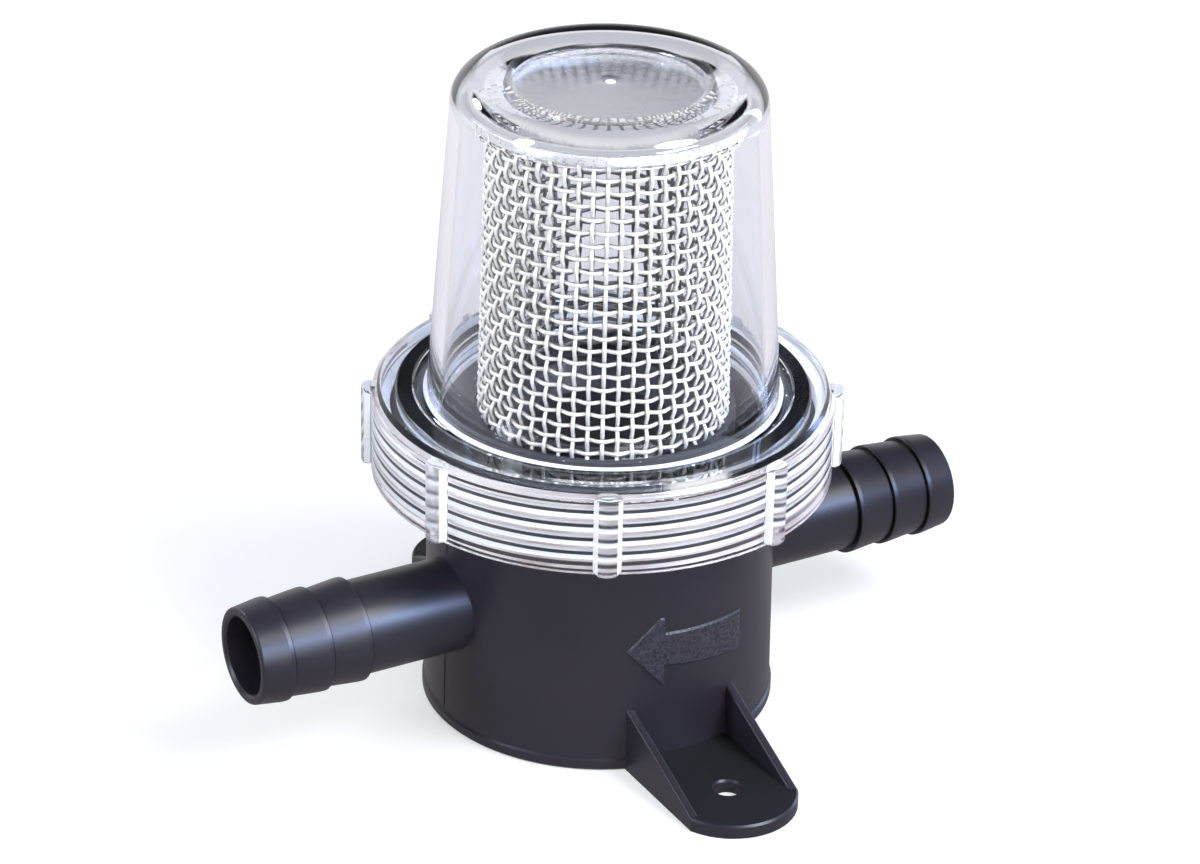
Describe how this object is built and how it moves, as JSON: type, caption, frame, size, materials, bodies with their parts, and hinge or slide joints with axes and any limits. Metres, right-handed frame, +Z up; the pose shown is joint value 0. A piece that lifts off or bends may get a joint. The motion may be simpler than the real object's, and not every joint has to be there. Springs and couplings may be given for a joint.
{
  "type": "sea water strainer",
  "caption": "Inline raw water strainer: black body with hose barbs and screw feet, clear bowl over a woven wire sleeve, clear threaded clamp ring.",
  "frame": {"origin": "centre of the underside, on the pot's axis", "axes": "+Z up along the pot's axis, +X towards the inlet barb, -X towards the outlet barb, the feet along +Y and -Y"},
  "size_m": [0.1608, 0.1342, 0.135],
  "materials": {
    "body_plastic": "satin moulded nylon, near black",
    "gasket_rubber": "smooth black rubber",
    "steel_wire": "bright stainless wire",
    "steel_sheet": "bright stainless sheet",
    "clear_bowl": "clear moulded plastic",
    "clear_ring": "clear moulded plastic"
  },
  "bodies": {
    "base": {"body": "body_plastic", "gasket": "gasket_rubber", "wire_sleeve": "steel_wire", "sleeve_hem": "steel_sheet"},
    "lifting_bowl": {"bowl": "clear_bowl"},
    "turning_ring": {"clamp_ring": "clear_ring"}
  },
  "joints": [
    {"name": "bowl_lift", "type": "slide", "parent": "base", "child": "lifting_bowl", "axis": [0, 0, 1], "range_m": [0, 0.0098]},
    {"name": "ring_turn", "type": "hinge", "parent": "lifting_bowl", "child": "turning_ring", "pos_m": [0, 0, 0.0599], "axis": [0, 0, 1], "range_deg": [0, 1170]}
  ],
  "couplings": [
    {"joint": "bowl_lift", "follows": "ring_turn", "m_per_rad": 0.00047746}
  ]
}
